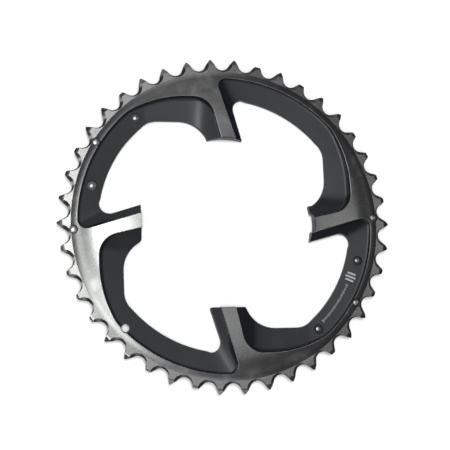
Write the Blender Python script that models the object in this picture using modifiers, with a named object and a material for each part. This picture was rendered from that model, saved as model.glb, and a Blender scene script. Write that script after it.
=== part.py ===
"""Outer chainring of a bicycle triple crankset: 42 teeth, four tabs, riveted shift pins.

The ring lies flat with its back on the ground plane. +Z is the ring's axis and points to
the outboard side, the origin is the ring's centre on the back face of the tabs.
"""
import math

import bmesh
import bpy
from mathutils import Matrix

MM = 0.001

# Chain and teeth. The chain has a half-inch pitch and 7.75 mm rollers.
TEETH = 42
CHAIN_PITCH = 12.7
ROLLER_RADIUS = 7.75 / 2
SEAT_CLEARANCE = 0.17
CLOCKWISE_FLANK = (math.radians(62), 40.0)
ANTICLOCKWISE_FLANK = (math.radians(55), 22.0)
FULL_TIP = 86.7
# Tip radius of each tooth of one half turn; the low ones are cut down for shifting.
HALF_TURN_TIPS = [85.75, 85.7, 85.5, 85.4, FULL_TIP, 86.5, 85.3,
                  FULL_TIP, 85.1, FULL_TIP, FULL_TIP, FULL_TIP, FULL_TIP, FULL_TIP,
                  85.7, FULL_TIP, FULL_TIP, 85.65, 85.9, 86.5, FULL_TIP]

# Heights above the back face of the tabs.
RIB_TOP = 7.25
BAND_FRONT = 4.1
BAND_BACK = 1.9
RAIL_CREST = 4.8
FLOOR_EDGE = 2.3
FLOOR_FOOT = 3.4
TAB_SHOULDER = 4.9

# Radii of the ring's zones, from the teeth inwards.
BEVEL_START = 83.8
BAND_FOOT = 79.8
RAIL_INNER = 76.5
POCKET_RAIL = 76.45
WINDOW_RADIUS = 65.8

# Tabs and their bolt holes: an M8 x 0.75 thread from the back, on a 104 mm circle.
TABS = 4
BOLT_CIRCLE_RADIUS = 52.0
BOLT_HOLE_RADIUS = 3.6
BOLT_HOLE_DEPTH = 4.0

# Rivets: radius of the circle they sit on and their angles in degrees.
UPPER_PIN_CIRCLE = 78.5
UPPER_PIN_ANGLES = [2.2, 148.0, 182.2, 328.0]
LOWER_PIN_CIRCLE = 71.5
LOWER_PIN_ANGLES = [130.0, 164.2, 310.0, 344.2]
DROP_HOLE_CIRCLE = 74.8
DROP_HOLE_ANGLE = 224.3
DROP_HOLE_RADIUS = 2.0

TURN_STEPS = TEETH * 2
PIN_STEPS = 12
PIN_GAP = 0.3
UPPER_SHANK = 1.5
LOWER_SHANK = 1.25
UPPER_SEAT = 2.3
LOWER_SEAT = 2.5
DROP_SEAT = 2.7
ARC_STEP = math.radians(9)


# ---------------------------------------------------------------- plane geometry

def polar(radius, angle):
    return (radius * math.cos(angle), radius * math.sin(angle))


def turned_by(point, angle):
    c, s = math.cos(angle), math.sin(angle)
    return (c * point[0] - s * point[1], s * point[0] + c * point[1])


def arc(centre, radius, start, end, step=ARC_STEP):
    """Points on an arc, both ends included."""
    count = max(2, math.ceil(abs(end - start) / step))
    angles = [start + (end - start) * i / count for i in range(count + 1)]
    return [(centre[0] + radius * math.cos(a), centre[1] + radius * math.sin(a)) for a in angles]


def rounded_corner(before, corner, after, radius):
    """The arc that rounds one corner of an outline."""
    enter = math.atan2(corner[1] - before[1], corner[0] - before[0])
    leave = math.atan2(after[1] - corner[1], after[0] - corner[0])
    turn = (leave - enter + math.pi) % (2 * math.pi) - math.pi
    side = math.copysign(math.pi / 2, turn)
    cut = radius * math.tan(abs(turn) / 2)
    start = (corner[0] - cut * math.cos(enter), corner[1] - cut * math.sin(enter))
    centre = (start[0] + radius * math.cos(enter + side), start[1] + radius * math.sin(enter + side))
    return arc(centre, radius, enter - side, enter - side + turn)


def tooth_side(tip_radius, flank):
    """Half a roller seat and the flank up to the tip, around the roller centre of one gap."""
    seat_angle, flank_radius = flank
    pitch_radius = CHAIN_PITCH / 2 / math.sin(math.pi / TEETH)
    seat_radius = ROLLER_RADIUS + SEAT_CLEARANCE
    roller = (pitch_radius, 0.0)
    lean = math.pi - seat_angle
    points = arc(roller, seat_radius, math.pi, lean, math.radians(13))
    reach = seat_radius + flank_radius
    flank_centre = (roller[0] + reach * math.cos(lean), roller[1] + reach * math.sin(lean))
    swing = 0.0
    step = math.radians(0.1)
    point = points[-1]
    while math.hypot(*point) < tip_radius:
        swing += step
        angle = lean + math.pi + swing
        point = (flank_centre[0] + flank_radius * math.cos(angle),
                 flank_centre[1] + flank_radius * math.sin(angle))
    middle = lean + math.pi + swing / 2
    points.append((flank_centre[0] + flank_radius * math.cos(middle),
                   flank_centre[1] + flank_radius * math.sin(middle)))
    points.append(point)
    return points


def toothed_outline():
    """The outer edge: tooth 0 points along +X and gap 0 follows it anticlockwise."""
    tips = HALF_TURN_TIPS + HALF_TURN_TIPS
    outline = []
    for gap in range(TEETH):
        middle = (gap + 0.5) * 2 * math.pi / TEETH
        rising = tooth_side(tips[gap], CLOCKWISE_FLANK)
        falling = tooth_side(tips[gap - 1], ANTICLOCKWISE_FLANK)
        lower = [(x, -y) for x, y in reversed(falling)]
        outline += [turned_by(p, middle) for p in lower]
        outline += [turned_by(p, middle) for p in rising[1:]]
    return outline


def tab_end(tab):
    """The free end of one tab, from its clockwise corner to its anticlockwise one."""
    if tab == 0:
        lip = 44.6
        floor = 46.0
        half = math.radians(5.2)
        low = arc((0, 0), lip, math.radians(-12.3), -half * 1.1)
        high = arc((0, 0), lip, half * 1.3, math.radians(12.0))
        return low + arc((0, 0), floor, -half, half) + high
    if tab == 1:
        return arc((6.6, 0.0), 38.0, math.radians(-14.4), math.radians(13.3))
    if tab == 2:
        return [(44.3, -9.9), (44.3, 7.8), (44.6, 8.6), (45.0, 9.1)]
    return [(43.5, -10.1), (42.9, -9.9), (42.7, -9.2), (42.7, 8.0)]


def window_side(tab):
    """From the end of one tab round its window to the end of the next tab."""
    flank = rounded_corner((44.0, 8.6), (53.6, 14.1), (53.6, 38.2), 16.3)
    shoulder = rounded_corner((53.6, 20.0), (53.6, 38.2), (46.6, 48.0), 12.0)
    outer = arc((0, 0), WINDOW_RADIUS, math.radians(41), math.radians(79), math.radians(4))
    corner = rounded_corner((30.0, 64.3), (3.3, 65.7), (9.8, 44.6), 5.2)
    return flank + shoulder + outer + corner


def inner_outline():
    """The inner edge: four windows that all open into the empty centre."""
    outline = []
    for tab in range(TABS):
        angle = tab * 2 * math.pi / TABS
        local = tab_end(tab) + window_side(tab)
        outline += [turned_by(p, angle) for p in local]
    return outline


def pocket_outline():
    """The sunk part of the front between the rib of the first tab and that of the next."""
    rib_side = rounded_corner((40.0, 1.3), (66.2, 7.4), (66.2, 24.0), 11.0)
    sweep = arc((8.4, 20.0), 57.8, math.radians(1), math.radians(23), math.radians(4))
    easing = rounded_corner(sweep[-1], (58.6, 49.3), (55.95, 52.17), 23.0)
    rail = arc((0, 0), POCKET_RAIL, math.radians(44), math.radians(88), math.radians(4.3))
    corner = rounded_corner((20.0, 76.4), (-4.0, 76.5), (5.2, 44.4), 4.5)
    mouth = [(7.7, 36.0), (33.0, 33.0), (36.0, 0.4)]
    keep = [p for p in rail if p[0] > corner[0][0] + 1.0]
    return rib_side + sweep + easing + keep + corner + mouth


# ---------------------------------------------------------------- solids

def collection(name):
    made = bpy.data.collections.new(name)
    bpy.context.scene.collection.children.link(made)
    return made


def weld(mesh):
    """Joins doubled corners and points the faces outwards."""
    work = bmesh.new()
    work.from_mesh(mesh)
    bmesh.ops.remove_doubles(work, verts=work.verts, dist=0.000001)
    bmesh.ops.dissolve_degenerate(work, edges=work.edges, dist=0.000001)
    bmesh.ops.recalc_face_normals(work, faces=work.faces)
    work.to_mesh(mesh)
    work.free()


def plan_solid(name, loops, bottom, top, group):
    """A flat outline, with any holes as further loops, raised between two heights."""
    curve = bpy.data.curves.new(name, "CURVE")
    curve.dimensions = "2D"
    curve.fill_mode = "BOTH"
    curve.extrude = (top - bottom) / 2 * MM
    for loop in loops:
        spline = curve.splines.new("POLY")
        spline.points.add(len(loop) - 1)
        for point, (x, y) in zip(spline.points, loop):
            point.co = (x * MM, y * MM, 0.0, 1.0)
        spline.use_cyclic_u = True
    shape = bpy.data.objects.new(name + "_outline", curve)
    shape.location.z = (top + bottom) / 2 * MM
    group.objects.link(shape)
    bpy.context.view_layer.update()
    ready = shape.evaluated_get(bpy.context.evaluated_depsgraph_get())
    mesh = bpy.data.meshes.new_from_object(ready)
    solid = bpy.data.objects.new(name, mesh)
    solid.matrix_world = shape.matrix_world.copy()
    group.objects.link(solid)
    bpy.data.objects.remove(shape)
    weld(mesh)
    return solid


def turned_solid(name, profile, steps, closed, group):
    """A profile of (radius, height) points turned about Z; closed profiles make a ring."""
    mesh = bpy.data.meshes.new(name)
    work = bmesh.new()
    verts = [work.verts.new((r * MM, 0.0, z * MM)) for r, z in profile]
    for first, second in zip(verts, verts[1:]):
        work.edges.new((first, second))
    if closed:
        work.edges.new((verts[-1], verts[0]))
    work.to_mesh(mesh)
    work.free()
    solid = bpy.data.objects.new(name, mesh)
    group.objects.link(solid)
    screw = solid.modifiers.new("Turn", "SCREW")
    screw.steps = steps
    screw.render_steps = steps
    screw.use_merge_vertices = True
    screw.merge_threshold = 0.00001
    return solid


def wedge(name, length, foot_width, top_width, height, group):
    """A long block whose sides and far end lean inwards, standing on z = 0."""
    mesh = bpy.data.meshes.new(name)
    work = bmesh.new()
    bmesh.ops.create_cube(work, size=1.0)
    for vert in work.verts:
        upper = vert.co.z > 0
        width = top_width if upper else foot_width
        far = length * (0.72 if upper else 1.0)
        x = far if vert.co.x > 0 else 0.0
        z = height if upper else 0.25
        vert.co = (x * MM, math.copysign(width / 2, vert.co.y) * MM, z * MM)
    work.to_mesh(mesh)
    work.free()
    block = bpy.data.objects.new(name, mesh)
    group.objects.link(block)
    return block


def combine(target, tool, operation):
    modifier = target.modifiers.new(tool.name, "BOOLEAN")
    modifier.operation = operation
    modifier.solver = "EXACT"
    modifier.object = tool
    tool.hide_render = True
    tool.display_type = "WIRE"


def settle(solid):
    """Replaces a solid's mesh with its finished shape."""
    bpy.context.view_layer.update()
    ready = solid.evaluated_get(bpy.context.evaluated_depsgraph_get())
    mesh = bpy.data.meshes.new_from_object(ready)
    solid.modifiers.clear()
    solid.data = mesh
    weld(mesh)


def at_polar(solid, radius, degrees):
    x, y = polar(radius * MM, math.radians(degrees))
    solid.location = (x, y, solid.location.z)


# ---------------------------------------------------------------- materials

def metal(name, color, roughness, metallic):
    material = bpy.data.materials.new(name)
    material.use_nodes = True
    shader = material.node_tree.nodes["Principled BSDF"]
    shader.inputs["Base Color"].default_value = (*color, 1.0)
    shader.inputs["Roughness"].default_value = roughness
    shader.inputs["Metallic"].default_value = metallic
    return material


# ---------------------------------------------------------------- the plate

def front_body(group):
    """Teeth, rail and ribs: one turned front surface, with a pocket sunk between the ribs."""
    profile = [(38.0, RIB_TOP), (46.0, 7.2), (54.0, 6.95), (62.0, 6.5), (68.0, 6.05),
               (72.0, 5.55), (RAIL_INNER, RAIL_CREST), (BAND_FOOT, BAND_FRONT),
               (BEVEL_START, BAND_FRONT), (88.6, 2.85), (88.6, 2.6),
               (BEVEL_START + 0.5, BAND_BACK), (BAND_FOOT + 0.4, BAND_BACK),
               (BAND_FOOT - 0.5, 1.0), (RAIL_INNER + 0.3, 1.0), (RAIL_INNER - 0.6, 1.2),
               (38.0, 1.2)]
    body = turned_solid("front_body", profile, TURN_STEPS, True, group)
    settle(body)
    for index in range(TABS):
        pocket = plan_solid("pocket_%d" % (index + 1), [pocket_outline()], 0.0, 10.0, group)
        pocket.rotation_euler.z = index * 2 * math.pi / TABS
        combine(body, pocket, "DIFFERENCE")
    settle(body)
    return body


def floor_body(group):
    """The sunk floor and the tabs' sloping shoulders, thinner than the ribs on them."""
    profile = [(37.0, FLOOR_EDGE), (WINDOW_RADIUS, FLOOR_EDGE), (RAIL_INNER, FLOOR_FOOT),
               (RAIL_INNER + 1.1, FLOOR_FOOT), (RAIL_INNER + 1.1, 0.9), (68.8, 0.9),
               (68.0, 0.0), (37.0, 0.0)]
    floor = turned_solid("floor_body", profile, TURN_STEPS, True, group)
    settle(floor)
    for index in range(TABS):
        shoulder = wedge("shoulder_%d" % (index + 1), 34.0, 21.0, 9.0, TAB_SHOULDER, group)
        lean = math.radians(15)
        angle = index * 2 * math.pi / TABS
        place = Matrix.Rotation(angle, 4, "Z") @ Matrix.Translation((38.5 * MM, -3.2 * MM, 0.0))
        shoulder.matrix_world = place @ Matrix.Rotation(lean, 4, "Z")
        combine(floor, shoulder, "UNION")
    settle(floor)
    return floor


def cut_round(plate, name, profile, radius, degrees, group):
    cutter = turned_solid(name, profile, PIN_STEPS, False, group)
    at_polar(cutter, radius, degrees)
    combine(plate, cutter, "DIFFERENCE")


def chainring_plate(group, cutters, material):
    plate = front_body(cutters)
    combine(plate, floor_body(cutters), "UNION")
    settle(plate)
    outline = plan_solid("outline", [toothed_outline(), inner_outline()], -1.0, 9.0, cutters)
    combine(plate, outline, "INTERSECT")
    settle(plate)
    for index in range(TABS):
        depth = BOLT_HOLE_DEPTH
        profile = [(0.0, depth), (BOLT_HOLE_RADIUS, depth), (BOLT_HOLE_RADIUS, 0.4),
                   (BOLT_HOLE_RADIUS + 0.8, -0.4), (0.0, -0.4)]
        name = "bolt_hole_%d" % (index + 1)
        cut_round(plate, name, profile, BOLT_CIRCLE_RADIUS, 90 * index, cutters)
    for index, degrees in enumerate(UPPER_PIN_ANGLES):
        hole = UPPER_SHANK + PIN_GAP
        profile = [(0.0, 6.5), (UPPER_SEAT, 6.5), (UPPER_SEAT, 4.1), (hole, 3.75), (hole, -1.0),
                   (0.0, -1.0)]
        name = "upper_pin_hole_%d" % (index + 1)
        cut_round(plate, name, profile, UPPER_PIN_CIRCLE, degrees, cutters)
    for index, degrees in enumerate(LOWER_PIN_ANGLES):
        hole = LOWER_SHANK + PIN_GAP
        profile = [(0.0, 6.5), (LOWER_SEAT, 6.5), (LOWER_SEAT, 2.7), (hole, 2.4), (hole, -1.0),
                   (0.0, -1.0)]
        name = "lower_pin_hole_%d" % (index + 1)
        cut_round(plate, name, profile, LOWER_PIN_CIRCLE, degrees, cutters)
    profile = [(0.0, 6.5), (DROP_SEAT, 6.5), (DROP_SEAT, 3.3), (DROP_HOLE_RADIUS, 3.1),
               (DROP_HOLE_RADIUS, -1.0), (0.0, -1.0)]
    cut_round(plate, "drop_pin_hole", profile, DROP_HOLE_CIRCLE, DROP_HOLE_ANGLE, cutters)
    settle(plate)
    cutters.objects.unlink(plate)
    group.objects.link(plate)
    plate.name = "chainring_plate"
    plate.data.materials.clear()
    plate.data.materials.append(material)
    plate.data.shade_smooth()
    plate.data.set_sharp_from_angle(angle=math.radians(30))
    plate.hide_render = False
    plate.display_type = "TEXTURED"
    return plate


# ---------------------------------------------------------------- the rivets

def rivet(name, shank, front, dome, radius, degrees, group, material):
    """A rivet: domed end at the front, straight shank, wide lifting head at the back."""
    back = 0.1
    head = shank + 0.75
    profile = [(0.0, front), (shank * 0.6, front - dome * 0.3), (shank, front - dome),
               (shank, back + 0.5), (head, back + 0.5), (head, back + 0.2),
               (head - 0.3, back), (0.0, back)]
    pin = turned_solid(name, profile, PIN_STEPS, False, group)
    at_polar(pin, radius, degrees)
    pin.data.materials.append(material)
    pin.data.shade_smooth()
    pin.data.set_sharp_from_angle(angle=math.radians(35))
    return pin


def build():
    for old in list(bpy.data.objects):
        bpy.data.objects.remove(old)
    group = collection("chainring")
    cutters = collection("cutters")
    anodised = metal("grey_anodised_aluminium", (0.10, 0.102, 0.10), 0.38, 0.85)
    steel = metal("polished_steel", (0.55, 0.55, 0.56), 0.25, 1.0)
    chainring_plate(group, cutters, anodised)
    for index, degrees in enumerate(UPPER_PIN_ANGLES):
        name = "upper_lift_pin_%d" % (index + 1)
        rivet(name, UPPER_SHANK, 4.5, 0.6, UPPER_PIN_CIRCLE, degrees, group, steel)
    for index, degrees in enumerate(LOWER_PIN_ANGLES):
        name = "lower_lift_pin_%d" % (index + 1)
        rivet(name, LOWER_SHANK, 3.2, 0.5, LOWER_PIN_CIRCLE, degrees, group, steel)
    for guide in cutters.objects:
        guide.hide_render = True
        guide.display_type = "WIRE"


build()
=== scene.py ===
"""Outer chainring of a triple crankset: 42 teeth, four tabs, eight lift pins.

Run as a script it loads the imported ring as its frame, machines the finished ring out of
turned and drawn solids around that frame, and sets up a small studio. The drawings below
are in millimetres, and MM takes them to metres.
"""

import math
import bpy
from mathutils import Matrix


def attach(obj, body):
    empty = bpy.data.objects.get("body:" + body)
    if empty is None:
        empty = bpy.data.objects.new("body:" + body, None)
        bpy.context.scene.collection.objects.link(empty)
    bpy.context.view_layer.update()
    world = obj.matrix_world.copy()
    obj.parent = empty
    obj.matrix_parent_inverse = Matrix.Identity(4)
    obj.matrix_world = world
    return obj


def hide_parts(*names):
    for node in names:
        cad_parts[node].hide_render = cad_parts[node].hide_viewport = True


bl_info = {
    "name": "Outer chainring",
    "version": (1, 0, 0),
    "blender": (4, 5, 0),
    "location": "View3D > Sidebar > Chainring",
    "description": "Builds a 42-tooth outer chainring with its lift pins in a soft studio",
    "category": "Add Mesh",
}

import bmesh
import bpy
import numpy as np
from bpy.props import FloatProperty, FloatVectorProperty, IntProperty, PointerProperty
from mathutils import Matrix, Vector

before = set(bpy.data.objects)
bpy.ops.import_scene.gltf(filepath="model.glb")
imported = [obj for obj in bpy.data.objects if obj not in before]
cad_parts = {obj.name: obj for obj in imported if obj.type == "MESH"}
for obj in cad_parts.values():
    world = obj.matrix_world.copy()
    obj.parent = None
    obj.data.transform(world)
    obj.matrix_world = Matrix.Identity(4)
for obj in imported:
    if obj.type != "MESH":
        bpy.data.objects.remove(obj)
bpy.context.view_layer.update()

MM = 0.001

# Chain and teeth: half-inch pitch, and round seats a little larger than the 7.75 mm rollers.
# A flank is half of its seat's arc and its own radius. The tip radii are those of half a turn,
# because the teeth that are cut low for shifting repeat after it.
TEETH = 42
CHAIN_PITCH = 12.7
SEAT_RADIUS = 4.045
CLOCKWISE_FLANK = (math.radians(62), 40.0)
ANTICLOCKWISE_FLANK = (math.radians(55), 22.0)
FULL_TIP = 86.7
HALF_TURN_TIPS = [85.75, 85.7, 85.5, 85.4, FULL_TIP, 86.5, 85.3,
                  FULL_TIP, 85.1, FULL_TIP, FULL_TIP, FULL_TIP, FULL_TIP, FULL_TIP,
                  85.7, FULL_TIP, FULL_TIP, 85.65, 85.9, 86.5, FULL_TIP]
PITCH_RADIUS = CHAIN_PITCH / 2 / math.sin(math.pi / TEETH)

# Radii of the ring's zones, from the teeth inwards, and heights above the tabs' back.
BAND_FOOT = 79.8
RAIL_INNER = 76.5
WINDOW_RADIUS = 65.8
BAND_FRONT = 4.1
BAND_BACK = 1.9
# Heights clear of the ring, where the tools that cut it begin and end.
BELOW, ABOVE = -1.0, 9.0
TOOL_TOP = 10.0
# How many steps the turned shapes have round the ring, and round a pin, a hole or a cone.
RING_STEPS = 12 * TEETH
FLOOR_STEPS = 18 * TEETH
ROUND_STEPS = 48
FLOOR_RINGS = 82

# The black floor: its height at the windows, its slope outwards, and a slope that climbs
# towards the clockwise tab from a set distance to it.
FLOOR_EDGE = 2.3
FLOOR_SLOPE = 0.103
TAB_SLOPE = 0.03
TAB_SLOPE_START = 41.0
# Straight edges of the ribs on both sides of a pocket: a point, and the way into the pocket.
RIB_EDGE = ((40.0, 1.3), (-0.227, 0.974))
NEXT_RIB_EDGE = ((-4.0, 76.5), (0.961, 0.2755))
# The floor's shoulder beside each rib: height at the rib, and fall per millimetre.
RIB_SHOULDER = (4.85, 0.34)
NEXT_RIB_SHOULDER = (4.65, 0.44)
SHOULDER_SOFTNESS = 0.9
# The fillet between floor and wall: its full size, the radius where it starts, the distance
# over which it grows, and the share of the wall's height that it may fill.
FILLET = 2.2
FILLET_START = 57.0
FILLET_GROWTH = 9.0
FILLET_SHARE = 0.72
THINNEST_WALL = 0.3
# The line along a rib that parts two pockets: its angle in degrees at one radius, and how many
# degrees it sweeps round for each millimetre outwards.
SECTOR_RADIUS = 44.0
SECTOR_START = -2.0
SECTOR_SWEEP = 0.272

# Chamfers: how far below the front they start, then the width and the overshoot above it.
CHAMFER_DEPTH = 0.25
POCKET_CHAMFER = (0.55, 0.06)
WINDOW_CHAMFER = (0.3, 0.05)
# The cones that chamfer the gaps between teeth: (radius, height) at both ends, and how far
# clockwise of the gap's middle they stand.
FRONT_CONE = ((3.2, 3.0), (5.58, 4.4), 0.75)
BACK_CONE = ((5.1, 1.3), (4.0, 2.4), 0.0)
# The faces of an edge that bends more than this look sharp.
GREY_CREASE = math.radians(7)
BLACK_CREASE = math.radians(28)

TABS = 4
QUARTER = math.pi / 2
BOLT_CIRCLE_RADIUS = 52.0
UPPER_PIN_CIRCLE = 78.5
UPPER_PIN_ANGLES = [2.2, 148.0, 182.2, 328.0]
LOWER_PIN_CIRCLE = 71.5
LOWER_PIN_ANGLES = [130.0, 164.2, 310.0, 344.2]
UPPER_PIN_RADIUS = 1.5
LOWER_PIN_RADIUS = 1.25
PIN_PLAY = 0.02
# The head behind: front and back height, rim and rounding. The dome is made of these rings.
HEAD_FRONT = 0.6
HEAD_BACK = 0.1
HEAD_RIM = 0.75
HEAD_BEVEL = 0.2
DOME_RINGS = (0.9, 0.75, 0.55, 0.35, 0.15)
DROP_HOLE_CIRCLE = 74.8
DROP_HOLE_ANGLE = 224.3
# Stepped holes: radius of the seat, radius of the bore, height of the seat's floor and its top.
UPPER_HOLE = (2.3, UPPER_PIN_RADIUS, 3.75, 7.0)
LOWER_HOLE = (2.5, LOWER_PIN_RADIUS, 2.3, 6.5)
DROP_HOLE = (2.7, 2.0, 3.1, 6.5)
SEAT_CHAMFER = (0.25, 0.2)

# The fine thread of the bolts, in the back of the tabs.
THREAD_PITCH = 0.75
THREAD_TURNS = 5
THREAD_CREST = 3.6
THREAD_ROOT = 4.0
THREAD_STEPS = 60

# The printed scale: thickness of the ink, then radius, first angle and step in degrees.
INK = 0.04
BAR_PLACE = (70.4, 336.6, 1.45)
BAR_LENGTH = 5.4
BAR_WIDTH = 0.9
TICK_PLACE = (70.2, 332.8, -0.76)
TICK_LENGTH = 0.9
LONG_TICK = 1.5
LONG_TICK_EVERY = 5
TICK_WIDTH = 0.32

# Front surface of ribs, rail and band, as radius and height.
FRONT_PROFILE = [(38.0, 7.25), (46.0, 7.2), (54.0, 6.95), (62.0, 6.5), (68.0, 6.05),
                 (70.0, 5.85), (72.0, 5.55), (74.0, 5.2), (76.0, 4.85), (77.2, 4.7),
                 (78.3, 4.5), (79.2, 4.27), (BAND_FOOT, BAND_FRONT), (83.9, BAND_FRONT),
                 (84.7, 3.95), (86.9, 3.0), (88.6, 2.9)]

# Finish slots; EDGE is the bright chamfer finish that paints in the highlight line along the rib
# edges.
GREY, BLACK, EDGE = 0, 1, 2

# Studio lamps, all at one distance: name, X and Y of the direction, width and power.
LAMP_DISTANCE = 1.3
LAMPS = [("key_lamp", (-0.07, 0.14), 0.3, 6.8), ("top_lamp", (0.05, 0.33), 0.36, 1.0),
         ("middle_lamp", (0.2, -0.06), 0.26, 0.6), ("left_lamp", (-0.25, -0.2), 0.44, 6.6),
         ("right_lamp", (0.46, 0.14), 0.24, 0.6), ("front_lamp", (0.05, -0.68), 0.7, 3.2),
         ("back_lamp", (0.0, 0.8), 0.7, 2.0), ("side_lamp", (-0.87, 0.04), 0.5, 3.4)]
# The direction to the camera, which way is up in its view, and the shift of its frame.
CAMERA_VIEW = (-0.22325, -0.16021, 0.96151)
CAMERA_UP = (0.0, 0.9864, 0.16436)
CAMERA_SHIFT = (-0.00609, -0.0036)
SENSOR_WIDTH = 36.0


# ---------------------------------------------------------------- drawing

def polar(radius, angle):
    return (radius * math.cos(angle), radius * math.sin(angle))


def turned_by(point, angle):
    c, s = math.cos(angle), math.sin(angle)
    return (c * point[0] - s * point[1], s * point[0] + c * point[1])


def arc(centre, radius, start, end, step=math.radians(4)):
    """Points on an arc, both ends included."""
    count = max(2, math.ceil(abs(end - start) / step))
    angles = [start + (end - start) * i / count for i in range(count + 1)]
    return [(centre[0] + radius * math.cos(a), centre[1] + radius * math.sin(a)) for a in angles]


def rounded_corner(before, corner, after, radius):
    """The arc that rounds one corner of an outline."""
    enter = math.atan2(corner[1] - before[1], corner[0] - before[0])
    leave = math.atan2(after[1] - corner[1], after[0] - corner[0])
    turn = (leave - enter + math.pi) % (2 * math.pi) - math.pi
    side = math.copysign(math.pi / 2, turn)
    cut = radius * math.tan(abs(turn) / 2)
    start = (corner[0] - cut * math.cos(enter), corner[1] - cut * math.sin(enter))
    centre = (start[0] + radius * math.cos(enter + side), start[1] + radius * math.sin(enter + side))
    return arc(centre, radius, enter - side, enter - side + turn)


def tooth_side(tip_radius, flank):
    """Half a roller seat and the flank up to the tip, around the roller centre of one gap."""
    seat_angle, flank_radius = flank
    roller = (PITCH_RADIUS, 0.0)
    lean = math.pi - seat_angle
    points = arc(roller, SEAT_RADIUS, math.pi, lean, math.radians(6))
    reach = SEAT_RADIUS + flank_radius
    centre = (roller[0] + reach * math.cos(lean), roller[1] + reach * math.sin(lean))
    swing = 0.0
    point = points[-1]
    while math.hypot(*point) < tip_radius:
        swing += math.radians(0.05)
        point = (centre[0] - flank_radius * math.cos(lean + swing),
                 centre[1] - flank_radius * math.sin(lean + swing))
    for share in (0.25, 0.5, 0.75, 1.0):
        angle = lean + swing * share
        points.append((centre[0] - flank_radius * math.cos(angle),
                       centre[1] - flank_radius * math.sin(angle)))
    return points


def toothed_outline():
    """The outer edge: tooth 0 points along +X and gap 0 follows it anticlockwise."""
    tips = HALF_TURN_TIPS + HALF_TURN_TIPS
    sides = []
    for gap in range(TEETH):
        middle = (gap + 0.5) * 2 * math.pi / TEETH
        rising = tooth_side(tips[gap], CLOCKWISE_FLANK)
        falling = tooth_side(tips[gap - 1], ANTICLOCKWISE_FLANK)
        lower = [(x, -y) for x, y in reversed(falling)]
        sides.append([turned_by(p, middle) for p in lower + rising[1:]])
    outline = []
    for gap, side in enumerate(sides):
        before = sides[gap - 1][-1]
        after = sides[(gap + 1) % TEETH][0]
        width = math.dist(before, side[0])
        start = rounded_corner(before, side[0], side[1], min(0.5, 0.4 * width))
        width = math.dist(side[-1], after)
        end = rounded_corner(side[-2], side[-1], after, min(0.5, 0.4 * width))
        outline += start[::3] + side[1:-1] + end[::3]
    return outline


def tab_end(tab):
    """The free end of one tab, from its clockwise corner to its anticlockwise one."""
    if tab == 0:
        half = math.radians(5.2)
        low = arc((0, 0), 44.6, math.radians(-12.3), -half * 1.1)
        high = arc((0, 0), 44.6, half * 1.3, math.radians(12.0))
        return low + arc((0, 0), 46.0, -half, half) + high
    if tab == 1:
        return arc((6.6, 0.0), 38.0, math.radians(-14.4), math.radians(13.3))
    if tab == 2:
        return [(44.3, -9.9), (44.3, 7.8), (44.6, 8.6), (45.0, 9.1)]
    return [(43.5, -10.1), (42.9, -9.9), (42.7, -9.2), (42.7, 8.0)]


def window_side():
    """From the end of one tab round its window to the end of the next tab."""
    flank = rounded_corner((44.0, 8.6), (53.6, 14.1), (53.6, 38.2), 16.3)
    shoulder = rounded_corner((53.6, 20.0), (53.6, 38.2), (46.6, 48.0), 12.0)
    outer = arc((0, 0), WINDOW_RADIUS, math.radians(41), math.radians(79), math.radians(2))
    corner = rounded_corner((30.0, 64.3), (3.3, 65.7), (9.8, 44.6), 5.2)
    return flank + shoulder + outer + corner


def inner_outline():
    """The inner edge: four windows that all open into the empty centre."""
    outline = []
    for tab in range(TABS):
        outline += [turned_by(p, tab * QUARTER) for p in tab_end(tab) + window_side()]
    return outline


def pocket_outline():
    """The sunk part of the front between the rib of the first tab and that of the next."""
    rib_side = rounded_corner((40.0, 1.3), (66.2, 7.4), (66.2, 24.0), 11.0)
    sweep = arc((8.4, 20.0), 57.8, math.radians(1), math.radians(23), math.radians(2))
    easing = rounded_corner(sweep[-1], (58.6, 49.3), (55.95, 52.17), 23.0)
    rail = arc((0, 0), RAIL_INNER, math.radians(44), math.radians(88), math.radians(2))
    corner = rounded_corner((20.0, 76.4), (-4.0, 76.5), (5.2, 44.4), 4.5)
    mouth = [(7.7, 36.0), (33.0, 33.0), (36.0, 0.4)]
    keep = [p for p in rail if p[0] > corner[0][0] + 1.0]
    return rib_side + sweep + easing + keep + corner + mouth


def moved_out(outline, distance):
    """The outline with every point moved outwards along its corner's mitre."""
    loop = np.array(outline)
    ahead = np.roll(loop, -1, axis=0) - loop
    ahead /= np.linalg.norm(ahead, axis=1)[:, None]
    normal = np.stack([ahead[:, 1], -ahead[:, 0]], axis=1)
    mitre = normal + np.roll(normal, 1, axis=0)
    mitre /= np.maximum(1.0, (mitre ** 2).sum(axis=1))[:, None]
    return loop + mitre * distance


# ---------------------------------------------------------------- heights

def front_height(radius):
    radii, heights = zip(*FRONT_PROFILE)
    return np.interp(radius, radii, heights)


def soft_max(first, second, reach):
    """The larger of two heights, with the crease between them rounded."""
    return (first + second + np.sqrt((first - second) ** 2 + reach ** 2)) / 2


def in_quarter(x, y):
    """Points as seen from the tab at the clockwise end of the pocket that they lie in."""
    radius = np.hypot(x, y)
    rib_line = np.radians(SECTOR_SWEEP * (radius - SECTOR_RADIUS) + SECTOR_START)
    angle = (np.arctan2(y, x) - rib_line) % QUARTER + rib_line
    return radius * np.cos(angle), radius * np.sin(angle)


def distance_to_loop(x, y, loop):
    """Distance to a closed outline, negative inside it."""
    ends = np.roll(loop, -1, axis=0)
    nearest = np.full(x.shape, 1e9)
    inside = np.zeros(x.shape, bool)
    for (ax, ay), (bx, by) in zip(loop, ends):
        dx, dy = bx - ax, by - ay
        share = np.clip(((x - ax) * dx + (y - ay) * dy) / (dx * dx + dy * dy), 0, 1)
        nearest = np.minimum(nearest, np.hypot(x - ax - share * dx, y - ay - share * dy))
        if ay != by:
            inside ^= ((ay > y) != (by > y)) & (x < (y - ay) * dx / dy + ax)
    return np.where(inside, -nearest, nearest)


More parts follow.
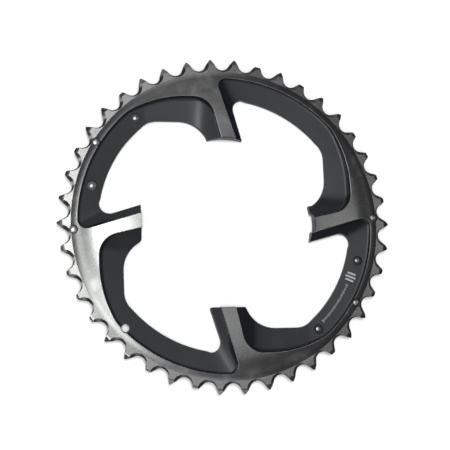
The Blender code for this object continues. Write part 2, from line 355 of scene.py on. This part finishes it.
def beyond(edge, x, y):
    """Distance from a rib's straight edge, on the pocket's side of it."""
    (from_x, from_y), (way_x, way_y) = edge
    return way_x * (x - from_x) + way_y * (y - from_y)


def shoulder(floor, size, distance):
    """The floor with a slope that falls away from a rib, blended in."""
    top, fall = size
    return soft_max(floor, top - fall * np.maximum(0.0, distance), SHOULDER_SOFTNESS)


def floor_height(x, y):
    """The black floor: a cone rising outwards, a shoulder at each rib, and the wall's fillet."""
    along, across = in_quarter(x, y)
    radius = np.hypot(x, y)
    floor = FLOOR_EDGE + FLOOR_SLOPE * (radius - WINDOW_RADIUS)
    floor = floor + TAB_SLOPE * np.maximum(0.0, TAB_SLOPE_START - across)
    floor = shoulder(floor, RIB_SHOULDER, beyond(RIB_EDGE, along, across))
    floor = shoulder(floor, NEXT_RIB_SHOULDER, beyond(NEXT_RIB_EDGE, along, across))
    wall = np.maximum(THINNEST_WALL, front_height(radius) - floor)
    grown = np.clip((radius - FILLET_START) / FILLET_GROWTH, 0.0, 1.0)
    fillet = np.minimum(FILLET * grown, FILLET_SHARE * wall)
    depth = -distance_to_loop(along, across, np.array(pocket_outline()))
    bend = np.clip(fillet - depth, 0.0, fillet)
    floor = floor + fillet - np.sqrt(fillet ** 2 - bend ** 2)
    return np.minimum(floor, front_height(radius) - CHAMFER_DEPTH)


# ---------------------------------------------------------------- shaping

def deselect():
    """Leaves nothing selected, in object mode."""
    if bpy.context.mode != "OBJECT":
        bpy.ops.object.mode_set(mode="OBJECT")
    bpy.ops.object.select_all(action="DESELECT")


def take(piece):
    """Makes one object the only selected and active one."""
    deselect()
    piece.select_set(True)
    bpy.context.view_layer.objects.active = piece


def set_points(mesh, points):
    mesh.vertices.foreach_set("co", (np.array(points) * MM).ravel())
    mesh.update()


def lofted(name, loops, slots):
    """A closed solid: the first loop filled, then extruded to each of the next loops."""
    count = len(loops[0])
    deselect()
    bpy.ops.mesh.primitive_circle_add(vertices=count, radius=1.0, fill_type="NGON")
    solid = bpy.context.object
    solid.name = name
    set_points(solid.data, loops[0])
    bpy.ops.object.mode_set(mode="EDIT")
    bpy.ops.mesh.select_all(action="SELECT")
    for before, loop in zip(loops, loops[1:]):
        bpy.ops.mesh.extrude_region_move()
        work = bmesh.from_edit_mesh(solid.data)
        cap = next(face for face in work.faces if face.select)
        ring = list(cap.verts)
        anchor = Vector(before[0]) * MM
        first = min(range(count), key=lambda i: (ring[i].co - anchor).length_squared)
        follow = Vector(before[1]) * MM
        ahead = (ring[(first + 1) % count].co - follow).length
        step = 1 if ahead < (ring[first - 1].co - follow).length else -1
        for index, point in enumerate(loop):
            ring[(first + step * index) % count].co = Vector(point) * MM
        bmesh.update_edit_mesh(solid.data)
    bpy.ops.mesh.select_all(action="SELECT")
    bpy.ops.mesh.normals_make_consistent(inside=False)
    bpy.ops.object.mode_set(mode="OBJECT")
    paint(solid, slots)
    return solid


def turned(name, profile, steps, slots):
    """A profile of (radius, height) points spun about Z; one that starts on the axis stays open."""
    deselect()
    bpy.ops.mesh.primitive_circle_add(vertices=len(profile), radius=1.0)
    solid = bpy.context.object
    solid.name = name
    set_points(solid.data, [(r, 0.0, z) for r, z in profile])
    if profile[0][0] == 0.0:
        last = len(profile) - 1
        for edge in solid.data.edges:
            edge.select = set(edge.vertices) == {0, last}
        for index in range(len(profile)):
            solid.data.vertices[index].select = index in (0, last)
        bpy.ops.object.mode_set(mode="EDIT")
        bpy.ops.mesh.select_mode(type="EDGE")
        bpy.ops.mesh.delete(type="EDGE")
        bpy.ops.mesh.select_mode(type="VERT")
    bpy.ops.object.mode_set(mode="EDIT")
    bpy.ops.mesh.select_all(action="SELECT")
    bpy.ops.mesh.spin(steps=steps, angle=math.tau, center=(0, 0, 0), axis=(0, 0, 1))
    bpy.ops.mesh.select_all(action="SELECT")
    bpy.ops.mesh.remove_doubles(threshold=0.0000005)
    bpy.ops.mesh.normals_make_consistent(inside=False)
    bpy.ops.object.mode_set(mode="OBJECT")
    paint(solid, slots)
    return solid


def paint(piece, slot):
    """Gives the piece the three plate finishes and all its faces one of them."""
    piece.data.materials.clear()
    for material in plate_finishes():
        piece.data.materials.append(material)
    piece.data.polygons.foreach_set("material_index", [slot] * len(piece.data.polygons))


def copy_turned(piece, angle):
    """A copy with its own mesh, turned about Z."""
    take(piece)
    bpy.ops.object.duplicate()
    made = bpy.context.object
    made.rotation_euler.z = angle
    bpy.ops.object.transform_apply(location=True, rotation=True, scale=True)
    return made


def placed(solid, radius, degrees):
    """Moves a solid out to a radius and angle, with its place kept in its mesh."""
    take(solid)
    solid.location = Vector((*polar(radius, math.radians(degrees)), 0.0)) * MM
    bpy.ops.object.transform_apply(location=True, rotation=True, scale=True)
    return solid


def join(pieces):
    deselect()
    for piece in pieces:
        piece.select_set(True)
    bpy.context.view_layer.objects.active = pieces[0]
    bpy.ops.object.join()
    return bpy.context.object


def combine(target, tool, operation):
    take(target)
    bpy.ops.object.modifier_add(type="BOOLEAN")
    modifier = target.modifiers[-1]
    modifier.operation = operation
    modifier.solver = "MANIFOLD"
    modifier.object = tool
    bpy.ops.object.modifier_apply(modifier=modifier.name)
    bpy.data.objects.remove(tool)
    if not target.data.polygons:
        raise RuntimeError("nothing was left of " + target.name)


# ---------------------------------------------------------------- finishes

def new_material(name):
    material = bpy.data.materials.new(name)
    material.use_nodes = True
    return material


def noise(material, scale, detail):
    """A noise pattern on the piece's own coordinates."""
    nodes = material.node_tree.nodes
    place = nodes.new("ShaderNodeTexCoord")
    texture = nodes.new("ShaderNodeTexNoise")
    texture.inputs["Scale"].default_value = scale
    texture.inputs["Detail"].default_value = detail
    material.node_tree.links.new(place.outputs["Object"], texture.inputs["Vector"])
    return texture.outputs["Fac"]


def two_tone(material, pattern, colour, low, high):
    """The colour between a darker and a lighter share of itself, mixed by a pattern."""
    shade = material.node_tree.nodes.new("ShaderNodeMix")
    shade.data_type = "RGBA"
    shade.inputs["A"].default_value = (*[c * low for c in colour], 1.0)
    shade.inputs["B"].default_value = (*[c * high for c in colour], 1.0)
    material.node_tree.links.new(pattern, shade.inputs["Factor"])
    return shade.outputs["Result"]


def ranged(material, pattern, low, high):
    """A pattern spread over a range of values."""
    spread = material.node_tree.nodes.new("ShaderNodeMapRange")
    spread.inputs["To Min"].default_value = low
    spread.inputs["To Max"].default_value = high
    material.node_tree.links.new(pattern, spread.inputs["Value"])
    return spread


def painted_highlight_patches(material, shade, patches, colour):
    """Painted highlight: the shade made lighter where the patches are at their strongest, standing
    in for bright spots of light on the ribs.
    """
    highlight_mask = ranged(material, patches, 0.0, 0.6)
    highlight_mask.inputs["From Min"].default_value = 0.58
    highlight_mask.inputs["From Max"].default_value = 0.72
    highlight_mix = material.node_tree.nodes.new("ShaderNodeMix")
    highlight_mix.data_type = "RGBA"
    # Painted highlight: close to twice the colour where the patches peak.
    highlight_mix.inputs["B"].default_value = (*[c * 1.9 for c in colour], 1.0)
    material.node_tree.links.new(shade, highlight_mix.inputs["A"])
    material.node_tree.links.new(highlight_mask.outputs["Result"], highlight_mix.inputs["Factor"])
    return highlight_mix.outputs["Result"]


def grain_bump(material, grain):
    """The blasted grain as a very shallow relief."""
    bump = material.node_tree.nodes.new("ShaderNodeBump")
    bump.inputs["Strength"].default_value = 0.2
    bump.inputs["Distance"].default_value = 0.00002
    material.node_tree.links.new(grain, bump.inputs["Height"])
    return bump.outputs["Normal"]


def plate_finishes():
    look = bpy.context.scene.chainring_finish
    return [anodised("grey_anodised", look.grey, look.grey_gloss, 0.95, 0.5),
            anodised("black_anodised", look.black, look.black_gloss, 0.0, 0.24),
            # The third finish, for the rib chamfers, is bare metal made bright enough to paint in
            # the highlight line along the rib edges.
            anodised("bare_edge_painted_highlight", look.edge, look.edge_gloss, 1.0, 0.5)]


def anodised(name, colour, gloss, metallic, shine):
    """Blasted and anodised aluminium: fine grain, faint lighter patches that are painted highlight,
    and a soft sheen.
    """
    ready = bpy.data.materials.get(name)
    if ready:
        return ready
    material = new_material(name)
    links = material.node_tree.links
    shader = material.node_tree.nodes["Principled BSDF"]
    shader.inputs["Metallic"].default_value = metallic
    shader.inputs["Specular IOR Level"].default_value = shine
    grain = noise(material, 5200.0, 2.0)
    patches = noise(material, 90.0, 4.0)
    shade = two_tone(material, grain, colour, 0.82, 1.18)
    # Base colour: random grain tone with painted highlight patches on top.
    links.new(painted_highlight_patches(material, shade, patches, colour), shader.inputs["Base Color"])
    sheen = ranged(material, patches, gloss - 0.06, gloss + 0.06)
    links.new(sheen.outputs["Result"], shader.inputs["Roughness"])
    links.new(grain_bump(material, grain), shader.inputs["Normal"])
    return material


def steel_finish():
    """Bright drawn steel with faint turning marks."""
    ready = bpy.data.materials.get("pin_steel_bright")
    if ready:
        return ready
    material = new_material("pin_steel_bright")
    links = material.node_tree.links
    shader = material.node_tree.nodes["Principled BSDF"]
    shader.inputs["Metallic"].default_value = 1.0
    marks = noise(material, 1500.0, 3.0)
    steel = bpy.context.scene.chainring_pins.steel
    links.new(two_tone(material, marks, steel, 0.8, 1.2), shader.inputs["Base Color"])
    sheen = ranged(material, marks, 0.16, 0.34)
    links.new(sheen.outputs["Result"], shader.inputs["Roughness"])
    return material


def print_finish():
    """Pale pad-printed ink, a little uneven."""
    material = new_material("pale_ink")
    shader = material.node_tree.nodes["Principled BSDF"]
    shader.inputs["Roughness"].default_value = 0.6
    wear = noise(material, 2400.0, 3.0)
    ink = bpy.context.scene.chainring_print.ink
    shade = two_tone(material, wear, ink, 0.7, 1.3)
    material.node_tree.links.new(shade, shader.inputs["Base Color"])
    return material


# ---------------------------------------------------------------- the plate

def edge_cutter(name, outline, heights, chamfer):
    """A cutter with upright walls that also chamfers the front edge all along its outline."""
    width, overshoot = chamfer
    broken = moved_out(outline, width)
    return lofted(name, [[(x, y, BELOW) for x, y in outline],
                         [(x, y, z - CHAMFER_DEPTH) for (x, y), z in zip(outline, heights)],
                         [(x, y, z + overshoot) for (x, y), z in zip(broken, heights)],
                         [(x, y, TOOL_TOP) for x, y in broken]], BLACK)


def ribbed_ring():
    """Teeth, rail and ribs: one turned front with a pocket cut away between the ribs."""
    under = [(88.6, 2.6), (84.3, BAND_BACK), (BAND_FOOT + 0.4, BAND_BACK),
             (BAND_FOOT - 0.5, 1.0), (RAIL_INNER + 0.3, 1.0), (RAIL_INNER - 0.6, 1.2),
             (38.0, 1.2)]
    ring = turned("chainring_plate_finished", FRONT_PROFILE + under, RING_STEPS, GREY)
    outline = pocket_outline()
    flat = np.array(outline)
    heights = front_height(np.hypot(flat[:, 0], flat[:, 1]))
    first = edge_cutter("pocket", outline, heights, POCKET_CHAMFER)
    # Slanted chamfer faces take the bright edge finish, a painted highlight along the rib edges.
    slanted = [p.index for p in first.data.polygons if 0.25 < abs(p.normal.z) < 0.95]
    for index in slanted:
        first.data.polygons[index].material_index = EDGE
    pockets = [first] + [copy_turned(first, tab * QUARTER) for tab in range(1, TABS)]
    combine(ring, join(pockets), "DIFFERENCE")
    return ring


def sunk_floor():
    """The black floor between the ribs, turned flat and then raised to its height."""
    inner, outer = 37.0, RAIL_INNER + 1.1
    radii = [inner + (outer - inner) * i / FLOOR_RINGS for i in range(FLOOR_RINGS + 1)]
    profile = [(r, 5.0) for r in radii] + [(outer, 0.9), (68.8, 0.9), (68.0, 0.0), (inner, 0.0)]
    floor = turned("sunk_floor", profile, FLOOR_STEPS, BLACK)
    points = np.empty(len(floor.data.vertices) * 3)
    floor.data.vertices.foreach_get("co", points)
    points = points.reshape(-1, 3) / MM
    top = points[:, 2] > 4.0
    points[top, 2] = floor_height(points[top, 0], points[top, 1])
    set_points(floor.data, points)
    return floor


def gap_chamfers(name, cone):
    """One cone in a gap between teeth, spun round to all the gaps."""
    low, high, shift = cone
    deselect()
    middle = math.pi / TEETH - shift / PITCH_RADIUS
    at = Vector((*polar(PITCH_RADIUS, middle), (low[1] + high[1]) / 2)) * MM
    bpy.ops.mesh.primitive_cone_add(
        vertices=ROUND_STEPS, radius1=low[0] * MM, radius2=high[0] * MM,
        depth=(high[1] - low[1]) * MM, location=at)
    cones = bpy.context.object
    cones.name = name
    bpy.ops.object.transform_apply(location=True, rotation=True, scale=True)
    bpy.ops.object.mode_set(mode="EDIT")
    bpy.ops.mesh.select_all(action="SELECT")
    bpy.ops.mesh.spin(steps=TEETH - 1, dupli=True, angle=math.tau * (TEETH - 1) / TEETH,
                      center=(0, 0, 0), axis=(0, 0, 1))
    bpy.ops.object.mode_set(mode="OBJECT")
    paint(cones, GREY)
    return cones


def bolt_thread():
    """The threaded blind hole in the back of a tab: a fine V thread below a lead-in."""
    profile = [(0.0, -0.5), (4.6, -0.5), (THREAD_ROOT, 0.3)]
    for turn in range(THREAD_TURNS):
        foot = 0.35 + turn * THREAD_PITCH
        profile += [(THREAD_CREST, foot + 0.3), (THREAD_ROOT, foot + 0.65)]
    return turned("bolt_thread", profile + [(3.5, 4.3), (0.0, 4.6)], THREAD_STEPS, BLACK)


def pin_seat(name, hole):
    """A stepped hole: the bore goes right through and the seat is sunk from the front."""
    seat, bore, low, high = hole
    inset, rise = SEAT_CHAMFER
    profile = [(0.0, BELOW), (bore, BELOW), (bore, low), (seat - inset, low), (seat, low + rise),
               (seat, high), (0.0, high)]
    return turned(name, profile, ROUND_STEPS, BLACK)


def drill(plate):
    """Bolt holes, rivet holes with their seats, and the empty drop-pin hole."""
    tools = [placed(bolt_thread(), BOLT_CIRCLE_RADIUS, 90 * tab) for tab in range(TABS)]
    for degrees in UPPER_PIN_ANGLES:
        tools.append(placed(pin_seat("upper_seat", UPPER_HOLE), UPPER_PIN_CIRCLE, degrees))
    for degrees in LOWER_PIN_ANGLES:
        tools.append(placed(pin_seat("lower_seat", LOWER_HOLE), LOWER_PIN_CIRCLE, degrees))
    tools.append(placed(pin_seat("drop_seat", DROP_HOLE), DROP_HOLE_CIRCLE, DROP_HOLE_ANGLE))
    combine(plate, join(tools), "DIFFERENCE")


def edge_height(x, y):
    """Height of the finished front at a point: the ribs' top or the black floor."""
    along, across = in_quarter(x, y)
    sunk = distance_to_loop(along, across, np.array(pocket_outline())) < 0
    return np.where(sunk, floor_height(x, y), front_height(np.hypot(x, y)))


def build_plate():
    plate = ribbed_ring()
    combine(plate, sunk_floor(), "UNION")
    outline = toothed_outline()
    teeth = lofted("teeth", [[(x, y, z) for x, y in outline] for z in (BELOW, ABOVE)], GREY)
    combine(plate, teeth, "INTERSECT")
    outline = inner_outline()
    flat = np.array(outline)
    heights = edge_height(flat[:, 0], flat[:, 1])
    windows = edge_cutter("windows", outline, heights, WINDOW_CHAMFER)
    combine(plate, windows, "DIFFERENCE")
    combine(plate, gap_chamfers("front_chamfers", FRONT_CONE), "DIFFERENCE")
    combine(plate, gap_chamfers("back_chamfers", BACK_CONE), "DIFFERENCE")
    drill(plate)
    crease(plate)
    return plate


def crease(plate):
    """Smooth shading, sharp at machined edges; the grey's slight facets count as edges."""
    take(plate)
    bpy.ops.object.shade_smooth()
    bpy.ops.object.mode_set(mode="EDIT")
    work = bmesh.from_edit_mesh(plate.data)
    for edge in work.edges:
        if len(edge.link_faces) == 2:
            grey = all(face.material_index == GREY for face in edge.link_faces)
            limit = GREY_CREASE if grey else BLACK_CREASE
            edge.smooth = edge.calc_face_angle() < limit
    bmesh.update_edit_mesh(plate.data)
    bpy.ops.object.mode_set(mode="OBJECT")


# ---------------------------------------------------------------- pins and print

def select_cap(piece, way):
    """Selects, in edit mode, the flat end face that looks up (1) or down (-1)."""
    bpy.ops.mesh.select_all(action="DESELECT")
    bpy.ops.mesh.select_mode(type="FACE")
    work = bmesh.from_edit_mesh(piece.data)
    end = max(work.faces, key=lambda f: f.calc_center_median().z * way + f.normal.z * way)
    end.select = True
    bmesh.update_edit_mesh(piece.data)


def lift_pin(name, radius, top, dome):
    """A pressed rivet: domed end at the front, shank, and the lifting head behind."""
    deselect()
    bpy.ops.mesh.primitive_cylinder_add(
        vertices=ROUND_STEPS, radius=radius * MM, depth=(top - dome - HEAD_FRONT) * MM,
        location=(0.0, 0.0, (top - dome + HEAD_FRONT) / 2 * MM))
    pin = bpy.context.object
    pin.name = name
    bpy.ops.object.transform_apply(location=True, rotation=True, scale=True)
    bpy.ops.object.mode_set(mode="EDIT")
    select_cap(pin, -1)
    bpy.ops.mesh.extrude_region_move()
    grow = (radius + HEAD_RIM) / radius
    bpy.ops.transform.resize(value=(grow, grow, 1.0), center_override=(0, 0, HEAD_FRONT * MM))
    drop = HEAD_BACK - HEAD_FRONT
    bpy.ops.mesh.extrude_region_move(TRANSFORM_OT_translate={"value": (0, 0, drop * MM)})
    bpy.ops.mesh.bevel(offset=HEAD_BEVEL * MM, segments=3, affect="EDGES")
    select_cap(pin, 1)
    ball = (radius ** 2 + dome ** 2) / (2 * dome)
    before = radius
    for share in DOME_RINGS:
        ring = radius * share
        rise = math.sqrt(ball ** 2 - ring ** 2) - math.sqrt(ball ** 2 - before ** 2)
        bpy.ops.mesh.inset(thickness=(before - ring) * MM)
        bpy.ops.transform.translate(value=(0, 0, rise * MM))
        before = ring
    bpy.ops.object.mode_set(mode="OBJECT")
    bpy.ops.object.shade_smooth_by_angle(angle=math.radians(35))
    pin.data.materials.append(steel_finish())
    return pin


def build_pins():
    """Four upper and four lower pins, each set modelled once and copied."""
    made = {}
    pins = bpy.context.scene.chainring_pins
    sets = (("upper", UPPER_PIN_RADIUS, pins.upper_top, UPPER_PIN_CIRCLE, UPPER_PIN_ANGLES),
            ("lower", LOWER_PIN_RADIUS, pins.lower_top, LOWER_PIN_CIRCLE, LOWER_PIN_ANGLES))
    for level, radius, top, circle, angles in sets:
        pattern = lift_pin(level + "_pin_pattern", radius - PIN_PLAY, top, pins.dome)
        for number, degrees in enumerate(angles, start=1):
            pin = copy_turned(pattern, 0.0)
            placed(pin, circle, degrees)
            pin.name = "%s_lift_pin_%d_finished" % (level, number)
            made[pin] = "%s_lift_pin_%d" % (level, number)
        bpy.data.objects.remove(pattern)
    return made


def printed_bar(radius, degrees, length, width):
    """One bar of thin ink, long across the ring, laid on the floor's slope."""
    deselect()
    bpy.ops.mesh.primitive_cube_add(size=1.0)
    bar = bpy.context.object
    bpy.ops.object.mode_set(mode="EDIT")
    bpy.ops.mesh.select_all(action="SELECT")
    bpy.ops.mesh.subdivide(number_cuts=3)
    bpy.ops.transform.resize(value=(length, width, INK))
    bpy.ops.object.mode_set(mode="OBJECT")
    points = np.empty(len(bar.data.vertices) * 3)
    bar.data.vertices.foreach_get("co", points)
    points = points.reshape(-1, 3)
    angle = math.radians(degrees)
    x = (points[:, 0] + radius) * math.cos(angle) - points[:, 1] * math.sin(angle)
    y = (points[:, 0] + radius) * math.sin(angle) + points[:, 1] * math.cos(angle)
    z = floor_height(x, y) + points[:, 2]
    set_points(bar.data, np.stack([x, y, z], axis=1))
    return bar


def build_print():
    """A plain size scale: three bars, then a run of fine ticks along the floor."""
    radius, first, step = BAR_PLACE
    bars = [printed_bar(radius, first + step * turn, BAR_LENGTH - abs(turn), BAR_WIDTH)
            for turn in (-1, 0, 1)]
    radius, first, step = TICK_PLACE
    for tick in range(bpy.context.scene.chainring_print.ticks):
        length = TICK_LENGTH if tick % LONG_TICK_EVERY else LONG_TICK
        bars.append(printed_bar(radius, first + step * tick, length, TICK_WIDTH))
    scale = join(bars)
    scale.name = "size_scale_print"
    scale.data.materials.append(print_finish())
    return scale


# ---------------------------------------------------------------- the studio

def studio_floor(colour):
    deselect()
    bpy.ops.mesh.primitive_plane_add(size=3.0, location=(0.0, 0.0, -0.5 * MM))
    floor = bpy.context.object
    floor.name = "studio_floor"
    pale = new_material("pale_floor")
    shader = pale.node_tree.nodes["Principled BSDF"]
    shader.inputs["Base Color"].default_value = (*colour, 1.0)
    shader.inputs["Roughness"].default_value = 0.9
    shader.inputs["Specular IOR Level"].default_value = 0.0
    floor.data.materials.append(pale)
    return floor


def even_light(strength):
    world = bpy.data.worlds.new("studio")
    world.use_nodes = True
    background = world.node_tree.nodes["Background"]
    background.inputs["Color"].default_value = (1, 1, 1, 1)
    background.inputs["Strength"].default_value = strength
    bpy.context.scene.world = world


def lamp(name, at, size, power):
    """A round soft lamp that faces the ring's centre."""
    data = bpy.data.lights.new(name, "AREA")
    data.shape = "DISK"
    data.size = size
    data.energy = power
    light = bpy.data.objects.new(name, data)
    bpy.context.scene.collection.objects.link(light)
    light.location = at
    light.rotation_euler = Vector(at).to_track_quat("Z", "Y").to_euler()


def place_camera(distance, lens):
    """The camera looks down at the ring from a little to its left and a little in front."""
    data = bpy.data.cameras.new("camera")
    camera = bpy.data.objects.new("camera", data)
    bpy.context.scene.collection.objects.link(camera)
    bpy.context.scene.camera = camera
    view = Vector(CAMERA_VIEW)
    right = Vector(CAMERA_UP).cross(view).normalized()
    up = view.cross(right)
    at = view * distance + Vector((0.0, 0.0, BAND_FRONT * MM))
    turn = Matrix((right, up, view)).transposed().to_4x4()
    camera.matrix_world = Matrix.Translation(at) @ turn
    data.sensor_width = SENSOR_WIDTH
    data.lens = lens
    data.shift_x, data.shift_y = CAMERA_SHIFT


# ---------------------------------------------------------------- settings and operators

class ChainringFinish(bpy.types.PropertyGroup):
    grey: FloatVectorProperty(
        name="Grey", description="Anodised grey of teeth, rail and ribs",
        subtype="COLOR", size=3, min=0.0, max=1.0, default=(0.105, 0.107, 0.105))
    black: FloatVectorProperty(
        name="Black", description="Satin black of the sunk floor",
        subtype="COLOR", size=3, min=0.0, max=1.0, default=(0.0048, 0.0056, 0.0082))
    # Bare-metal colour of the rib chamfers, made bright as a painted highlight along the edges.
    edge: FloatVectorProperty(
        name="Cut edge", description="Bare metal of the chamfers along the ribs",
        subtype="COLOR", size=3, min=0.0, max=1.0, default=(0.42, 0.425, 0.42))
    edge_gloss: FloatProperty(
        name="Cut edge roughness", description="Roughness of the chamfers along the ribs",
        min=0.0, max=1.0, default=0.42)
    grey_gloss: FloatProperty(
        name="Grey roughness", description="Roughness of the grey surfaces",
        min=0.0, max=1.0, default=0.27)
    black_gloss: FloatProperty(
        name="Black roughness", description="Roughness of the black surfaces",
        min=0.0, max=1.0, default=0.34)


class ChainringPins(bpy.types.PropertyGroup):
    upper_top: FloatProperty(
        name="Upper pin height", description="Height of the upper pins' domed ends",
        min=4.0, max=5.5, default=4.5)
    lower_top: FloatProperty(
        name="Lower pin height", description="Height of the lower pins' domed ends",
        min=2.5, max=4.5, default=3.3)
    dome: FloatProperty(
        name="Dome", description="How far the pins' ends bulge",
        min=0.05, max=1.0, default=0.14)
    steel: FloatVectorProperty(
        name="Steel", description="Colour of the pins",
        subtype="COLOR", size=3, min=0.0, max=1.0, default=(0.15, 0.15, 0.147))


class ChainringPrint(bpy.types.PropertyGroup):
    ink: FloatVectorProperty(
        name="Ink", description="Colour of the printed scale",
        subtype="COLOR", size=3, min=0.0, max=1.0, default=(0.3, 0.305, 0.31))
    ticks: IntProperty(
        name="Ticks", description="Number of fine ticks in the printed scale",
        min=1, max=60, default=26)


class ChainringStudio(bpy.types.PropertyGroup):
    brightness: FloatProperty(
        name="Brightness", description="Strength of all the lamps together",
        min=0.0, max=4.0, default=1.0)
    sky: FloatProperty(
        name="Sky", description="Strength of the even light from all round",
        min=0.0, max=2.0, default=0.1)
    floor: FloatVectorProperty(
        name="Floor", description="Colour of the studio floor",
        subtype="COLOR", size=3, min=0.0, max=1.0, default=(0.92, 0.92, 0.92))
    distance: FloatProperty(
        name="Camera distance", description="Distance from the ring's centre to the camera",
        subtype="DISTANCE", unit="LENGTH", min=0.2, max=3.0, default=0.623)
    lens: FloatProperty(
        name="Lens", description="Focal length in millimetres",
        min=20.0, max=300.0, default=97.73)


class CHAINRING_OT_plate(bpy.types.Operator):
    """Machine the toothed plate with its ribs, tabs and black floor"""
    bl_idname = "chainring.plate"
    bl_label = "Toothed plate"

    def execute(self, context):
        plate = build_plate()
        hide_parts("chainring_plate")
        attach(plate, "root")
        return {"FINISHED"}


class CHAINRING_OT_pins(bpy.types.Operator):
    """Press the eight lift pins into their holes"""
    bl_idname = "chainring.pins"
    bl_label = "Lift pins"

    def execute(self, context):
        for pin, node in build_pins().items():
            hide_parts(node)
            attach(pin, "root")
        return {"FINISHED"}


class CHAINRING_OT_print(bpy.types.Operator):
    """Print the plain size scale on the black floor"""
    bl_idname = "chainring.print"
    bl_label = "Size scale"

    def execute(self, context):
        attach(build_print(), "root")
        return {"FINISHED"}


class CHAINRING_OT_stage(bpy.types.Operator):
    """Lay the floor and set up the lights and the camera"""
    bl_idname = "chainring.stage"
    bl_label = "Stage"

    def execute(self, context):
        studio = context.scene.chainring_studio
        floor = studio_floor(studio.floor)
        even_light(studio.sky)
        for name, (x, y), size, power in LAMPS:
            up = math.sqrt(1.0 - x * x - y * y)
            lamp(name, Vector((x, y, up)) * LAMP_DISTANCE, size, power * studio.brightness)
        place_camera(studio.distance, studio.lens)
        context.scene.view_settings.view_transform = "Standard"
        return {"FINISHED"}


class CHAINRING_PT_panel(bpy.types.Panel):
    """Settings and steps of the chainring"""
    bl_idname = "CHAINRING_PT_panel"
    bl_label = "Chainring"
    bl_space_type = "VIEW_3D"
    bl_region_type = "UI"
    bl_category = "Chainring"

    def draw(self, context):
        for name, settings in SETTINGS.items():
            box = self.layout.box()
            for setting in settings.__annotations__:
                box.prop(getattr(context.scene, name), setting)
        for step in ("plate", "pins", "print", "stage"):
            self.layout.operator("chainring." + step)


SETTINGS = {"chainring_finish": ChainringFinish, "chainring_pins": ChainringPins,
            "chainring_print": ChainringPrint, "chainring_studio": ChainringStudio}
CLASSES = (*SETTINGS.values(), CHAINRING_OT_plate, CHAINRING_OT_pins, CHAINRING_OT_print,
           CHAINRING_OT_stage, CHAINRING_PT_panel)


def register():
    for item in CLASSES:
        bpy.utils.register_class(item)
    for name, settings in SETTINGS.items():
        setattr(bpy.types.Scene, name, PointerProperty(type=settings))


def unregister():
    for name in SETTINGS:
        delattr(bpy.types.Scene, name)
    for item in reversed(CLASSES):
        bpy.utils.unregister_class(item)


def main():
    register()
    bpy.ops.chainring.plate()
    bpy.ops.chainring.pins()
    bpy.ops.chainring.print()
    bpy.ops.chainring.stage()


if __name__ == "__main__":
    main()
